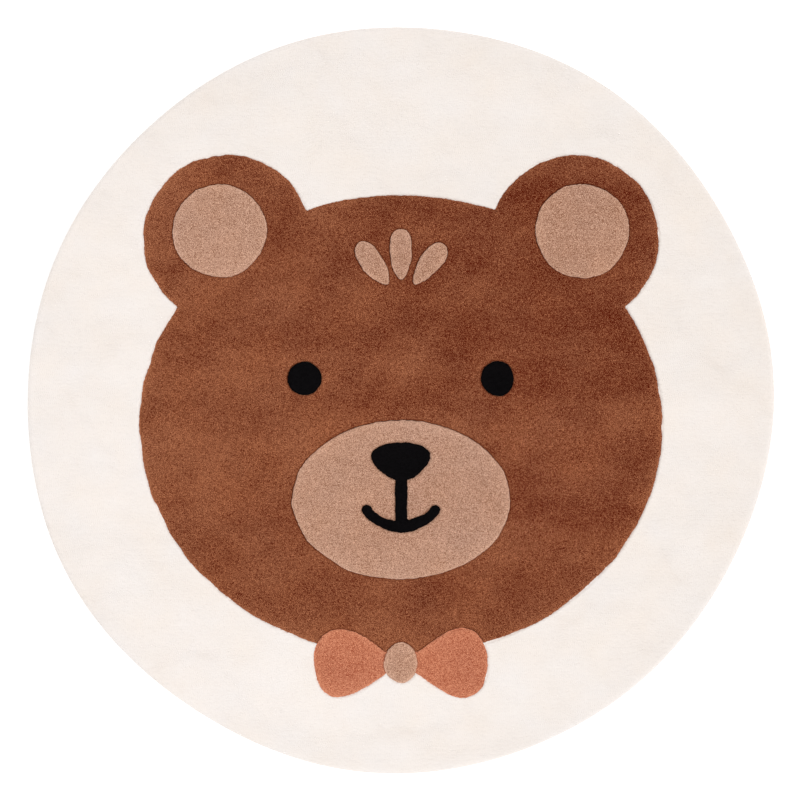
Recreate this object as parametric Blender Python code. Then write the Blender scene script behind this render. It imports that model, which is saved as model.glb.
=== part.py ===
"""A round, hand-tufted rug for a child's room: one flat piece of cut pile with a bear's head carved into it.

Metres, +Z up. The rug lies face up on z = 0, centred on the origin, with the top of the head towards +Y.
The canvas and its pile are one cloth, so they are one solid: a disc with a rounded pile edge, and a shallow
V-shaped groove where shears have parted the pile along each line between two colours.
"""

import math

import bmesh
import bpy

# The rug as a whole
DIAMETER = 1.200
THICKNESS = 0.014
EDGE_POINTS = 180

# The edge in section, from the floor to the top of the pile: how far in from the outline, and how high
EDGE_PROFILE = [
    {"inset": 0.0040, "height": 0.0000},
    {"inset": 0.0020, "height": 0.0020},
    {"inset": 0.0000, "height": 0.0050},
    {"inset": 0.0000, "height": 0.0085},
    {"inset": 0.0016, "height": 0.0116},
    {"inset": 0.0042, "height": 0.0133},
    {"inset": 0.0080, "height": THICKNESS},
]

# How the hand-cut outline swings about a true circle: the waves in one turn, their swing, and where they peak
OUTLINE_WAVES = [
    {"waves": 2, "swing": 0.0024, "peak_deg": 44.0},
    {"waves": 4, "swing": 0.0012, "peak_deg": 6.0},
    {"waves": 5, "swing": 0.0013, "peak_deg": -8.0},
    {"waves": 7, "swing": 0.0016, "peak_deg": 4.0},
]

# The bear's head
HEAD_CENTRE = (0.0, -0.040)
HEAD_WIDTH = 0.840
HEAD_HEIGHT = 0.740
EAR_ANGLE = math.radians(47.0)
EAR_REACH = 0.410
EAR_DIAMETER = 0.270
INNER_EAR_REACH = 0.428
INNER_EAR_DIAMETER = 0.150
MUZZLE_CENTRE = (0.0, -0.160)
MUZZLE_WIDTH = 0.350
MUZZLE_HEIGHT = 0.256

# Eyes, nose and mouth
EYE_CENTRE = (0.155, 0.035)
EYE_DIAMETER = 0.054
NOSE_CENTRE = (0.0, -0.098)
NOSE_WIDTH = 0.092
NOSE_HEIGHT = 0.062
NOSE_TAPER = 0.28
LINE_WIDTH = 0.018
LINE_END_STEPS = 12
LIP_CENTRE = (0.0, -0.133)
LIP_RADIUS = 0.070
LIP_HALF_ANGLE = math.radians(52.0)
CLEFT_TOP = -0.110

# The tuft of hair on the forehead, three leaves that spread from one root
HAIR_ROOT = (0.0, 0.158)
HAIR_GAP = 0.035
HAIR_LENGTH = 0.082
HAIR_WIDTH = 0.034
HAIR_FULLNESS = 0.35
HAIR_ANGLES = [math.radians(a) for a in (54.0, 90.0, 126.0)]

# The bow under the chin
BOW_CENTRE = (0.0, -0.422)
WING_START = 0.012
WING_LENGTH = 0.128
WING_HEIGHT = 0.152
WING_PINCH = 0.30
KNOT_WIDTH = 0.054
KNOT_HEIGHT = 0.064

# The carved groove: its depth, how far the middle of the tube that cuts it stands above the pile, and how much
# shallower each field's groove is than the one before, so that no two meet at one depth
GROOVE_DEPTH = 0.0030
GROOVE_LIFT = 0.0006
GROOVE_STAGGER = 0.00002

# How closely the corners of a groove follow its outline
TRACE_STEP = 0.0015
LONG_STEP = 0.014
SHORT_STEP = 0.007

# Corners of a groove closer than this are one corner
WELD_DISTANCE = 1e-6

PILE_COLOUR = (0.93, 0.87, 0.81, 1.0)
PILE_ROUGHNESS = 0.95


def ellipse(centre, width, height):
    """The closed outline of an ellipse."""
    count = round(math.pi * (width + height) / 2 / TRACE_STEP)
    turns = [2 * math.pi * i / count for i in range(count)]
    return [
        (centre[0] + width / 2 * math.cos(a), centre[1] + height / 2 * math.sin(a)) for a in turns
    ]


def turned(points, centre, angle):
    """These points, laid along a line that leaves the centre at this angle."""
    along, across = (math.cos(angle), math.sin(angle)), (-math.sin(angle), math.cos(angle))
    return [
        (
            centre[0] + u * along[0] + v * across[0],
            centre[1] + u * along[1] + v * across[1],
        )
        for u, v in points
    ]


def at_ear(side, reach):
    """A point on the line from the middle of the head out through an ear, on the right (1) or the left (-1)."""
    return (
        HEAD_CENTRE[0] + side * reach * math.cos(EAR_ANGLE),
        HEAD_CENTRE[1] + reach * math.sin(EAR_ANGLE),
    )


def nose():
    """An ellipse drawn in towards its foot, which makes a rounded triangle."""
    return [
        (NOSE_CENTRE[0] + x * (1 + NOSE_TAPER * y / (NOSE_HEIGHT / 2)), NOSE_CENTRE[1] + y)
        for x, y in ellipse((0, 0), NOSE_WIDTH, NOSE_HEIGHT)
    ]


def stroke(spine):
    """The outline of a line of LINE_WIDTH with round ends, along a spine of points."""
    half = LINE_WIDTH / 2

    def side_of(line):
        shifted = []
        for here, ahead in zip(line, line[1:] + [None]):
            if ahead:
                heading = math.atan2(ahead[1] - here[1], ahead[0] - here[0])
            shifted.append((here[0] + half * math.sin(heading), here[1] - half * math.cos(heading)))
        turns = [heading + math.pi * (i / LINE_END_STEPS - 0.5) for i in range(1, LINE_END_STEPS)]
        end = line[-1]
        return shifted + [(end[0] + half * math.cos(a), end[1] + half * math.sin(a)) for a in turns]

    return side_of(spine) + side_of(spine[::-1])


def lip():
    """The smile, an arc that hangs below its centre."""
    count = round(2 * LIP_HALF_ANGLE * LIP_RADIUS / TRACE_STEP)
    angles = [LIP_HALF_ANGLE * (2 * i / count - 1) for i in range(count + 1)]
    return stroke(
        [
            (LIP_CENTRE[0] + LIP_RADIUS * math.sin(a), LIP_CENTRE[1] - LIP_RADIUS * math.cos(a))
            for a in angles
        ]
    )


def cleft():
    """The upright line that joins the nose to the smile."""
    foot = LIP_CENTRE[1] - LIP_RADIUS + LINE_WIDTH / 4
    count = round((CLEFT_TOP - foot) / TRACE_STEP)
    return stroke([(0.0, CLEFT_TOP + (foot - CLEFT_TOP) * i / count) for i in range(count + 1)])


def leaf(angle):
    """One leaf of hair: an ellipse that is fuller towards its free end."""
    points = [
        (HAIR_GAP + HAIR_LENGTH / 2 + u, v * (1 + HAIR_FULLNESS * u / (HAIR_LENGTH / 2)))
        for u, v in ellipse((0, 0), HAIR_LENGTH, HAIR_WIDTH)
    ]
    return turned(points, HAIR_ROOT, angle)


def wing(side):
    """One wing of the bow: an ellipse pinched where it meets the knot."""
    points = []
    for u, v in ellipse((0, 0), WING_LENGTH, WING_HEIGHT):
        out = (1 + u / (WING_LENGTH / 2)) / 2
        points.append(
            (
                BOW_CENTRE[0] + side * (WING_START + out * WING_LENGTH),
                BOW_CENTRE[1] + v * (WING_PINCH + (1 - WING_PINCH) * out),
            )
        )
    return points


def shapes():
    """Each field of colour: its outline, the spacing of its groove's corners, and the fields that lie over it."""
    fields = {
        "head": (ellipse(HEAD_CENTRE, HEAD_WIDTH, HEAD_HEIGHT), LONG_STEP, ["ear", "wing", "knot"]),
        "muzzle": (ellipse(MUZZLE_CENTRE, MUZZLE_WIDTH, MUZZLE_HEIGHT), LONG_STEP, []),
        "nose": (nose(), SHORT_STEP, ["cleft"]),
        "lip": (lip(), SHORT_STEP, ["cleft"]),
        "cleft": (cleft(), SHORT_STEP, ["nose", "lip"]),
        "knot": (ellipse(BOW_CENTRE, KNOT_WIDTH, KNOT_HEIGHT), SHORT_STEP, []),
    }
    for name, side in (("right", 1), ("left", -1)):
        eye = (side * EYE_CENTRE[0], EYE_CENTRE[1])
        ear = ellipse(at_ear(side, EAR_REACH), EAR_DIAMETER, EAR_DIAMETER)
        inner = ellipse(at_ear(side, INNER_EAR_REACH), INNER_EAR_DIAMETER, INNER_EAR_DIAMETER)
        fields[f"ear_{name}"] = (ear, LONG_STEP, ["head"])
        fields[f"inner_ear_{name}"] = (inner, LONG_STEP, [])
        fields[f"eye_{name}"] = (ellipse(eye, EYE_DIAMETER, EYE_DIAMETER), SHORT_STEP, [])
        fields[f"wing_{name}"] = (wing(side), LONG_STEP, ["knot"])
    for number, angle in enumerate(HAIR_ANGLES, 1):
        fields[f"hair_{number}"] = (leaf(angle), SHORT_STEP, [])
    return fields


def inside(point, outline):
    """Whether a point lies within a closed outline."""
    x, y = point
    odd = False
    for (ax, ay), (bx, by) in zip(outline, outline[1:] + outline[:1]):
        if (ay > y) != (by > y) and x < ax + (bx - ax) * (y - ay) / (by - ay):
            odd = not odd
    return odd


def shown_runs(outline, covers):
    """The stretches of an outline that nothing covers, each carried one point on into what covers it."""
    hidden = [any(inside(p, cover) for cover in covers) for p in outline]
    if not any(hidden):
        return [(outline, True)]
    count = len(outline)
    runs = []
    for start in range(count):
        if hidden[start] and not hidden[(start + 1) % count]:
            run = [outline[start]]
            step = start + 1
            while not hidden[step % count]:
                run.append(outline[step % count])
                step += 1
            run.append(outline[step % count])
            runs.append((run, False))
    return runs


def thinned(run, closed, step):
    """The run with its points about one step apart, and both of its ends kept."""
    stride = max(1, round(step / TRACE_STEP))
    if closed:
        return run[::stride]
    kept = run[:-1:stride]
    if len(run) - 1 - (len(kept) - 1) * stride < stride / 2:
        kept = kept[:-1]
    return kept + [run[-1]]


def as_mesh_object(curve_object, collection):
    """The curve's tube as a mesh with its caps welded, in the curve's place."""
    graph = bpy.context.evaluated_depsgraph_get()
    mesh = bpy.data.meshes.new_from_object(curve_object.evaluated_get(graph))
    shape = bmesh.new()
    shape.from_mesh(mesh)
    bmesh.ops.remove_doubles(shape, verts=shape.verts, dist=WELD_DISTANCE)
    bmesh.ops.recalc_face_normals(shape, faces=shape.faces)
    shape.to_mesh(mesh)
    shape.free()
    name = curve_object.name
    matrix = curve_object.matrix_world.copy()
    bpy.data.objects.remove(curve_object)
    made = bpy.data.objects.new(name, mesh)
    made.matrix_world = matrix
    collection.objects.link(made)
    return made


def groove_cutter(name, points, closed, height, collection):
    """A four-sided tube along a run, whose lower corner cuts a V into the pile."""
    curve = bpy.data.curves.new(name, "CURVE")
    curve.dimensions = "3D"
    curve.twist_mode = "Z_UP"
    curve.bevel_depth = GROOVE_DEPTH + GROOVE_LIFT
    curve.bevel_resolution = 0
    curve.use_fill_caps = not closed
    spline = curve.splines.new("POLY")
    spline.points.add(len(points) - 1)
    for place, (x, y) in zip(spline.points, points):
        place.co = (x, y, height, 1.0)
    spline.use_cyclic_u = closed
    tube = bpy.data.objects.new(name, curve)
    collection.objects.link(tube)
    cutter = as_mesh_object(tube, collection)
    cutter.hide_render = True
    cutter.display_type = "WIRE"
    return cutter


def rug_body(collection):
    """The disc of canvas and pile: one outline lofted through the rows of the edge profile and closed flat."""
    shape = bmesh.new()
    ring = bmesh.ops.create_circle(shape, segments=EDGE_POINTS, radius=DIAMETER / 2)["verts"]
    lay_ring(ring, EDGE_PROFILE[0])
    edges = shape.edges[:]
    for row in EDGE_PROFILE[1:]:
        made = bmesh.ops.extrude_edge_only(shape, edges=edges)["geom"]
        edges = [item for item in made if isinstance(item, bmesh.types.BMEdge)]
        lay_ring([item for item in made if isinstance(item, bmesh.types.BMVert)], row)
    bmesh.ops.holes_fill(shape, edges=shape.edges)
    bmesh.ops.recalc_face_normals(shape, faces=shape.faces)
    for axis in (0, 1):
        reach = [vert.co[axis] for vert in shape.verts]
        middle = (min(reach) + max(reach)) / 2
        for vert in shape.verts:
            vert.co[axis] -= middle
    mesh = bpy.data.meshes.new("rug")
    shape.to_mesh(mesh)
    shape.free()
    rug = bpy.data.objects.new("rug", mesh)
    collection.objects.link(rug)
    return rug


def lay_ring(verts, row):
    """Puts a ring of points on the rug's outline, at one row's inset and height."""
    for vert in verts:
        angle = math.atan2(vert.co.y, vert.co.x)
        swing = sum(
            w["swing"] * math.cos(w["waves"] * (angle - math.radians(w["peak_deg"])))
            for w in OUTLINE_WAVES
        )
        radius = DIAMETER / 2 + swing - row["inset"]
        vert.co = (radius * math.cos(angle), radius * math.sin(angle), row["height"])


def carve(rug, cutters):
    """Parts the pile along every line between two colours."""
    fields = shapes()
    height = THICKNESS + GROOVE_LIFT
    for name, (outline, step, covered_by) in fields.items():
        covers = [fields[other][0] for other in fields if other.split("_")[0] in covered_by]
        height += GROOVE_STAGGER
        for number, (run, closed) in enumerate(shown_runs(outline, covers), 1):
            points = thinned(run, closed, step)
            cutter = groove_cutter(f"groove_{name}_{number}", points, closed, height, cutters)
            cut = rug.modifiers.new(cutter.name, "BOOLEAN")
            cut.operation = "DIFFERENCE"
            cut.solver = "EXACT"
            cut.object = cutter


def pile_material():
    """Matt cut pile in the cream of the ground."""
    material = bpy.data.materials.new("cut_pile")
    material.use_nodes = True
    shader = material.node_tree.nodes["Principled BSDF"]
    shader.inputs["Base Color"].default_value = PILE_COLOUR
    shader.inputs["Roughness"].default_value = PILE_ROUGHNESS
    shader.inputs["Metallic"].default_value = 0.0
    return material


def main():
    for old in list(bpy.data.objects):
        bpy.data.objects.remove(old)
    parts = bpy.data.collections.new("bear_rug")
    cutters = bpy.data.collections.new("cutters")
    for collection in (parts, cutters):
        bpy.context.scene.collection.children.link(collection)
    rug = rug_body(parts)
    rug.data.materials.append(pile_material())
    carve(rug, cutters)


main()
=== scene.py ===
"""A round, hand-tufted rug for a child's room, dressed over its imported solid.

The rug is a disc of canvas that carries cut pile in five yarns, with a bear's head in the pile. Each cut end
of yarn is a small dome of its own, and the pile dips along every line between two colours, where shears have
parted it. Metres, +Z up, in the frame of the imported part: the rug lies on z = 0 with the top of the head
towards +Y.
"""

import functools
import math
import types

import bmesh
import bpy
import numpy as np
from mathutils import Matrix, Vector
from mathutils.bvhtree import BVHTree
from mathutils.geometry import tessellate_polygon


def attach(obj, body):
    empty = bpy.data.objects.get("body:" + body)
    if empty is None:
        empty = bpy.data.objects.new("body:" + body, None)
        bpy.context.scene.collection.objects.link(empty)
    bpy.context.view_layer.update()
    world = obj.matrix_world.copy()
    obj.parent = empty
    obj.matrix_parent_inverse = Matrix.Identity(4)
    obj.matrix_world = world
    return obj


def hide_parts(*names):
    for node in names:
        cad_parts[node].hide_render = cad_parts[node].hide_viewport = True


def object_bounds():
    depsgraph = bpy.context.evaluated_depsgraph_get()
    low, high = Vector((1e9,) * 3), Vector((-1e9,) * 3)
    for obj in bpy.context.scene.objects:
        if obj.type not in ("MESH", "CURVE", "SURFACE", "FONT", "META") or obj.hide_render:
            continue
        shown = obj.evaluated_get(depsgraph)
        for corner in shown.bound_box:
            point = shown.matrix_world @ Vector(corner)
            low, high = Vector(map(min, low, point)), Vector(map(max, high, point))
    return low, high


bl_info = {
    "name": "Bear Rug",
    "version": (1, 0, 0),
    "blender": (4, 5, 0),
    "location": "3D View > Sidebar > Bear Rug",
    "description": "Dresses a round tufted rug with a bear's head in canvas and cut pile",
    "category": "Add Mesh",
}

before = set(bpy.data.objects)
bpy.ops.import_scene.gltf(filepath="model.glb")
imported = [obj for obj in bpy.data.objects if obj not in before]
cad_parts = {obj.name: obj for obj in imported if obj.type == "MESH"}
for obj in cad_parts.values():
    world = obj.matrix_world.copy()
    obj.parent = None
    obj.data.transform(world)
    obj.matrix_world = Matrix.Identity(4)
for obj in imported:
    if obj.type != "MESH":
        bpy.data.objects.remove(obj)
CAD_LOW, CAD_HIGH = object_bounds()
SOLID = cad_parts["rug"]

# The rug's side, between these heights, is the widest ring of the solid, and gives the outline
SIDE_FROM = 0.0045
SIDE_TO = 0.0090

# The canvas: its top lies just inside the foot of the pile, so no slit shows between them
PILE_FOOT = 0.0020
CANVAS_TOP = PILE_FOOT + 0.00005
CANVAS_EDGE = [
    {"inset": 0.0044, "height": 0.0},
    {"inset": 0.0031, "height": 0.0003},
    {"inset": 0.0024, "height": 0.0010},
    {"inset": 0.0026, "height": 0.0017},
    {"inset": 0.0036, "height": CANVAS_TOP},
]
CANVAS_EDGE_POINTS = 720
CANVAS_EDGE_WANDER = 0.0003

# Cut ends: how many lines of them a row of stitches leaves, how far the rows are shifted by turns to the
# right and to the left, as a share of the stitch, and how many times the ends beside a line are crowded
# up to it
LINES_A_ROW = 2
STITCH_SHIFT = 0.25
SETTLE_STEPS = 4

# The line between two yarns: the hand's slow wobble along it, how ragged it is from end to end, how far
# every yarn stands back from it, and how much further the brown makes way for a field that lies over it
LINE_WOBBLE = 0.0009
LINE_WANDER = 0.00045
LINE_SETBACK = 0.0001
LINE_GAP = {"brown": 0.0004}

# Of the two yarns at a line, the one whose field lies under the other's is below it. Shade is painted
# on it: it is darker right at the line and for a short way beside it, most where the nap leans out over
# it. Light is painted on the ends above a line, and on those at the rim: they are lighter, for the light
# that reaches down their open side. A broad band inside the rim has a little painted shade
LINE_CORNER_SHADE = 1.6
LINE_PAINTED_SHADE = 1.9
LINE_PAINTED_SHADE_REACH = 0.0010
NAP_LEANS = (-0.84, 0.54)
LEAN_SHARE = 0.60
OPEN_REACH = 0.0062
RIM_BAND_SHADE = 0.40
RIM_BAND_REACH = 0.028

# The side of the pile below the rim: how uneven the rim is, how far inside it the solid's height is read,
# where the side bends, and how far it draws in down to the canvas
RIM_WANDER = 0.0004
RIM_READ_INSET = 0.0005
SIDE_BEND = 0.0048
SIDE_DRAW_IN = 0.0021

# The painted shade at the rim and on the side, as a depth in the pile where 0 is a tip and 1 is down
# between the ends
RIM_CORNER_SHADE = 0.3
SIDE_SHADE = 0.4

# Uneven fields, each as the sizes of its patches, how much longer these are along the rows than across them,
# and their shares. The nap leans in long bands, as each pass of the tufting gun and the shears leaves it,
# and in patches, from feet and a brush. The rows of stitches and the lines between colours wander as the
# hand does
NAP_PATCHES = [
    {"across": 0.140, "stretch": 4.0, "share": 0.44},
    {"across": 0.070, "stretch": 7.0, "share": 0.36},
    {"across": 0.060, "stretch": 1.2, "share": 0.37},
    {"across": 0.026, "stretch": 1.0, "share": 0.27},
]
ROW_PATCHES = [
    {"across": 0.070, "stretch": 1.0, "share": 0.80},
    {"across": 0.025, "stretch": 1.0, "share": 0.25},
]
LINE_PATCHES = [
    {"across": 0.040, "stretch": 1.0, "share": 0.80},
    {"across": 0.014, "stretch": 1.0, "share": 0.30},
]

# A field is the sum of this many waves for each size of patch, whose lengths vary by this much, and is cut
# off at this limit. With this height, the waves for one size of patch together spread as far as their share
FIELD_WAVES = 18
FIELD_SPREAD = 0.45
FIELD_LIMIT = 1.5
WAVE_HEIGHT = math.sqrt(2 / FIELD_WAVES)

# The sweep of light: the whole nap was brushed one way, and its sheen is painted as light, lighter towards
# the lower left. This is how much the sweep rises in a metre to the right and in a metre up
LIGHT_SWEEP_RISE = (-1.96, -1.32)

# A yarn's setback keeps to this share of the room to its own ends, and no face is smaller than this from
# above
SETBACK_SHARE = 0.35
LEAST_FACE = 0.05e-6

# The step for measuring a slope, how many times a point is walked onto a line, how many times lone ends are
# looked for at the most, the least length to divide by, and the height from which the solid's top is read
SLOPE_STEP = 0.0001
WALKS = 2
PART_PASSES = 20
LEAST = 1e-9
CAST_HEIGHT = 0.05

# The four neighbours in a grid that meet at a point: lower left, lower right, upper right, upper left
AROUND = [
    (slice(None, -1), slice(None, -1)),
    (slice(None, -1), slice(1, None)),
    (slice(1, None), slice(1, None)),
    (slice(1, None), slice(None, -1)),
]

# The neighbours of the inner points of a grid: left, right, below, above
BESIDE = [
    (slice(1, -1), slice(None, -2)),
    (slice(1, -1), slice(2, None)),
    (slice(None, -2), slice(1, -1)),
    (slice(2, None), slice(1, -1)),
]

# The map that colours are baked onto: the top and sides take its left part, and the underside a strip at its
# right. The rows of the sides lie this far apart on it, in metres of rug
BAKE_MAP = "OFBake"
TOP_SHARE = 0.80
FOOT_STRIP = (0.84, 0.99)
MAP_MARGIN = 0.004
SIDE_SPREAD = 0.0015

# What each face of the pile knows of its end, for its material to read: the end's own draw, the lean of
# the nap there, which is painted as light and shade, its place in the sweep of painted light, and the
# painted light that reaches down its side, less painted shade in a band inside the rim
LOOKS = ("tone", "nap", "sweep", "openness")

# Each yarn. Its tone runs from 0, "deep", to 1, "light", about "base", and swings with each look by the
# amount under its name: with the yarn's own random draw for "tone", and as painted light and shade for
# the nap, the sweep and the openness. "fibre" is how far the clumps of fibre swing it: where that is more
# than 1, they are specks of the two colours. "relief" is how strongly the clumps stand out, "shade" how
# much painted shade darkens the yarn down between the ends, beside lines and at the rim, "gloss" its
# shine, and "cast" how much of the tint of its dye batch it takes
YARNS = {
    "cream": {
        "deep": "#DDD4CC", "light": "#F3ECE8", "base": 0.50, "shade": 0.010, "gloss": 0.15, "cast": 0.5,
        "tone": 0.004, "nap": 0.034, "sweep": 0.085, "openness": 0.30, "fibre": 0.05, "relief": 0.05,
    },
    "brown": {
        "deep": "#5B1401", "light": "#C3805B", "base": 0.21, "shade": 0.50, "gloss": 0.03, "cast": 1.0,
        "tone": 0.22, "nap": 0.193, "sweep": 0.193, "openness": 0.42, "fibre": 8.0, "relief": 0.7,
    },
    "tan": {
        "deep": "#805034", "light": "#E8BCA3", "base": 0.50, "shade": 0.35, "gloss": 0.15, "cast": 0.9,
        "tone": 0.14, "nap": 0.049, "sweep": 0.065, "openness": 0.30, "fibre": 5.4, "relief": 0.7,
    },
    "coral": {
        "deep": "#8C2A01", "light": "#E99E7B", "base": 0.50, "shade": 0.35, "gloss": 0.15, "cast": 0.8,
        "tone": 0.16, "nap": 0.069, "sweep": 0.095, "openness": 0.20, "fibre": 4.8, "relief": 0.7,
    },
    "black": {
        "deep": "#040304", "light": "#0D0B0D", "base": 0.50, "shade": 0.35, "gloss": 0.05, "cast": 0.5,
        "tone": 0.30, "nap": 0.10, "sweep": 0.10, "openness": 0.0, "fibre": 1.0, "relief": 0.7,
    },
}
# The tint of the painted shade, down between the ends, beside lines and at the rim
PAINTED_SHADE_TINT = (0.34, 0.24, 0.17, 1.0)
CANVAS_HEX = "#CFC2A6"
WHITE = (1.0, 1.0, 1.0, 1.0)


# ------------------------------------------------------------------------------
# Settings


def linear(code):
    """An sRGB hex colour as linear red, green and blue."""
    parts = [int(code[i : i + 2], 16) / 255 for i in (1, 3, 5)]
    return tuple(p / 12.92 if p <= 0.04045 else ((p + 0.055) / 1.055) ** 2.4 for p in parts)


def setting(name, description, default, **more):
    """A number as a setting, or several numbers where its default holds several."""
    facts = {"name": name, "description": description, "default": default, **more}
    if isinstance(default, tuple):
        return bpy.props.FloatVectorProperty(size=len(default), **facts)
    return bpy.props.FloatProperty(**facts)


def metres(name, description, default, **more):
    """A length as a setting, or several lengths."""
    return setting(name, description, default, unit="LENGTH", **more)


def degrees(name, description, default):
    """An angle as a setting."""
    return setting(name, description, math.radians(default), unit="ROTATION")


def share(name, description, default):
    """A share of the whole as a setting."""
    return setting(name, description, default, subtype="FACTOR")


def colour(name, description, code):
    """A colour as a setting, from its sRGB hex value."""
    return setting(name, description, linear(code), subtype="COLOR", min=0.0, max=1.0)


def yarn_colour(yarn, nap):
    """The colour of one yarn as a setting, in its shaded (deep) or its lit (light) nap."""
    label = f"{yarn.capitalize()}, {nap}"
    return colour(label, f"Colour of the {yarn} yarn in its {nap} nap", YARNS[yarn][nap])


class PileSizes(bpy.types.PropertyGroup):
    """How closely and how deep the rug is tufted."""

    stitch: metres("Stitch", "From one cut end to the next along a row", 0.0029, min=0.0015)
    row: metres(
        "Row",
        "From one row of stitches to the next; each row leaves two lines of cut ends",
        0.0044,
        min=0.0020,
    )
    row_parting: metres(
        "Parting between rows", "How deep the pile parts between two rows of stitches", 0.0009, min=0.0
    )
    end_parting: metres(
        "Parting between ends",
        "How deep the pile parts between the two lines of ends in a row",
        0.0006,
        min=0.0,
    )
    scatter: metres("Scatter", "How far an end may stand from its place in the row", 0.0006, min=0.0)
    row_wander: metres(
        "Row wander", "How far the rows of stitches wander from straight", 0.0040, min=0.0
    )
    unevenness: metres(
        "Unevenness", "How far an end may stand above or below the sheared level", 0.00022, min=0.0
    )
    lean: metres("Lean", "How far the nap leans over at the most", 0.0005, min=0.0)
    seed: bpy.props.IntProperty(
        name="Seed",
        description="Start of the random draws, so that every run gives the same pile",
        default=7,
    )


class HeadSizes(bpy.types.PropertyGroup):
    """The bear's head, in plain circles and ellipses."""

    head_centre: metres("Head centre", "Middle of the head", (0.0, -0.040))
    head_size: metres("Head size", "Width and height of the head", (0.840, 0.740))
    ear_angle: degrees(
        "Ear angle", "Angle of the ears above the horizontal, from the middle of the head", 47.0
    )
    ear_reach: metres("Ear reach", "From the middle of the head to the middle of an ear", 0.410)
    ear_diameter: metres("Ear diameter", "Width of an ear", 0.270)
    inner_ear_reach: metres(
        "Inner ear reach", "From the middle of the head to the middle of an inner ear", 0.428
    )
    inner_ear_diameter: metres("Inner ear diameter", "Width of an inner ear", 0.150)
    muzzle_centre: metres("Muzzle centre", "Middle of the muzzle", (0.0, -0.160))
    muzzle_size: metres("Muzzle size", "Width and height of the muzzle", (0.350, 0.256))
    eye_centre: metres("Eye centre", "Middle of the right eye; the left one mirrors it", (0.155, 0.035))
    eye_diameter: metres("Eye diameter", "Width of an eye", 0.054)
    nose_centre: metres("Nose centre", "Middle of the nose", (0.0, -0.098))
    nose_size: metres("Nose size", "Width and height of the nose", (0.092, 0.062))
    nose_taper: share(
        "Nose taper", "How much narrower the nose is at its foot and wider at its top, as a share", 0.28
    )
    line_width: metres("Line width", "Width of the line of the mouth", 0.018)
    lip_centre: metres("Smile centre", "Centre of the arc of the smile", (0.0, -0.133))
    lip_radius: metres("Smile radius", "Radius of the arc of the smile", 0.070)
    lip_half_angle: degrees(
        "Smile half angle", "How far the smile runs to each side of straight down", 52.0
    )
    cleft_top: metres(
        "Top of the cleft", "Where the upright line from the nose to the smile starts", -0.110
    )
    hair_root: metres(
        "Hair root", "The point from which the three leaves of hair spread", (0.0, 0.158)
    )
    hair_gap: metres("Hair gap", "From the root to the near end of a leaf", 0.035)
    hair_size: metres("Hair size", "Length and width of a leaf of hair", (0.082, 0.034))
    hair_fullness: share(
        "Hair fullness", "How much fuller a leaf is at its free end, as a share", 0.35
    )
    hair_spread: degrees("Hair spread", "Angle between one leaf of hair and the next", 36.0)
    bow_centre: metres("Bow centre", "Middle of the bow", (0.0, -0.422))
    wing_start: metres(
        "Wing start", "From the middle of the bow to the near end of a wing, under the knot", 0.012
    )
    wing_size: metres("Wing size", "Length and height of a wing of the bow", (0.128, 0.152))
    wing_pinch: share(
        "Wing pinch", "How much of its height a wing keeps where it meets the knot", 0.30
    )
    knot_size: metres("Knot size", "Width and height of the knot", (0.054, 0.064))


class YarnColours(bpy.types.PropertyGroup):
    """The colours of the yarns and of the canvas."""

    cream_deep: yarn_colour("cream", "deep")
    cream_light: yarn_colour("cream", "light")
    brown_deep: yarn_colour("brown", "deep")
    brown_light: yarn_colour("brown", "light")
    tan_deep: yarn_colour("tan", "deep")
    tan_light: yarn_colour("tan", "light")
    coral_deep: yarn_colour("coral", "deep")
    coral_light: yarn_colour("coral", "light")
    black_deep: yarn_colour("black", "deep")
    black_light: yarn_colour("black", "light")
    canvas: colour("Canvas", "Colour of the unbleached canvas", CANVAS_HEX)


class StageSettings(bpy.types.PropertyGroup):
    """The floor, the light and the camera."""

    picture_width: metres("Picture width", "How much of the rug's plane the picture spans", 1.286)
    picture_offset: metres(
        "Picture offset",
        "Where the middle of the picture lies from the middle of the rug",
        (-0.0016, 0.0008),
    )
    lens: setting("Lens", "Focal length of the camera, in millimetres", 85.0)
    floor_size: metres("Floor size", "Width of the floor", 80.0)
    sky_strength: setting("Sky strength", "Brightness of the even white light from all round", 0.88)
    lamp_power: setting("Lamp power", "Power of the soft lamp overhead", 1000.0, unit="POWER")
    lamp_size: metres("Lamp size", "Width of the soft lamp overhead", 6.0)
    lamp_place: metres(
        "Lamp place", "Middle of the lamp, high above the rug", (6.0, -2.4, 15.6), subtype="TRANSLATION"
    )


def plain_values(group):
    """A property group's settings as pairs of name and value, which a cache can compare."""
    values = {name: getattr(group, name) for name in type(group).__annotations__}
    return tuple((name, tuple(v) if hasattr(v, "__len__") else v) for name, v in values.items())


# ------------------------------------------------------------------------------
# The bear's head: each shape is a function of x and y, above 0 inside it, 0 on its outline, below 0 outside


def ellipse(centre, size):
    """An ellipse of this width and height."""

    def inside(x, y):
        across = (x - centre[0]) / (size[0] / 2)
        up = (y - centre[1]) / (size[1] / 2)
        return 1 - across**2 - up**2

    return inside


def disc(centre, diameter):
    """A round field."""
    return ellipse(centre, (diameter, diameter))


def at_ear(head, side, reach):
    """A point on the line from the middle of the head out through its right (1) or left (-1) ear."""
    return (
        head.head_centre[0] + side * reach * math.cos(head.ear_angle),
        head.head_centre[1] + reach * math.sin(head.ear_angle),
    )


def nose(head):
    """An ellipse drawn in towards its foot, which makes a rounded triangle."""
    whole = ellipse((0, 0), head.nose_size)

    def inside(x, y):
        rise = y - head.nose_centre[1]
        width = np.maximum(1 + head.nose_taper * rise / (head.nose_size[1] / 2), head.nose_taper)
        return whole((x - head.nose_centre[0]) / width, rise)

    return inside


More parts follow.
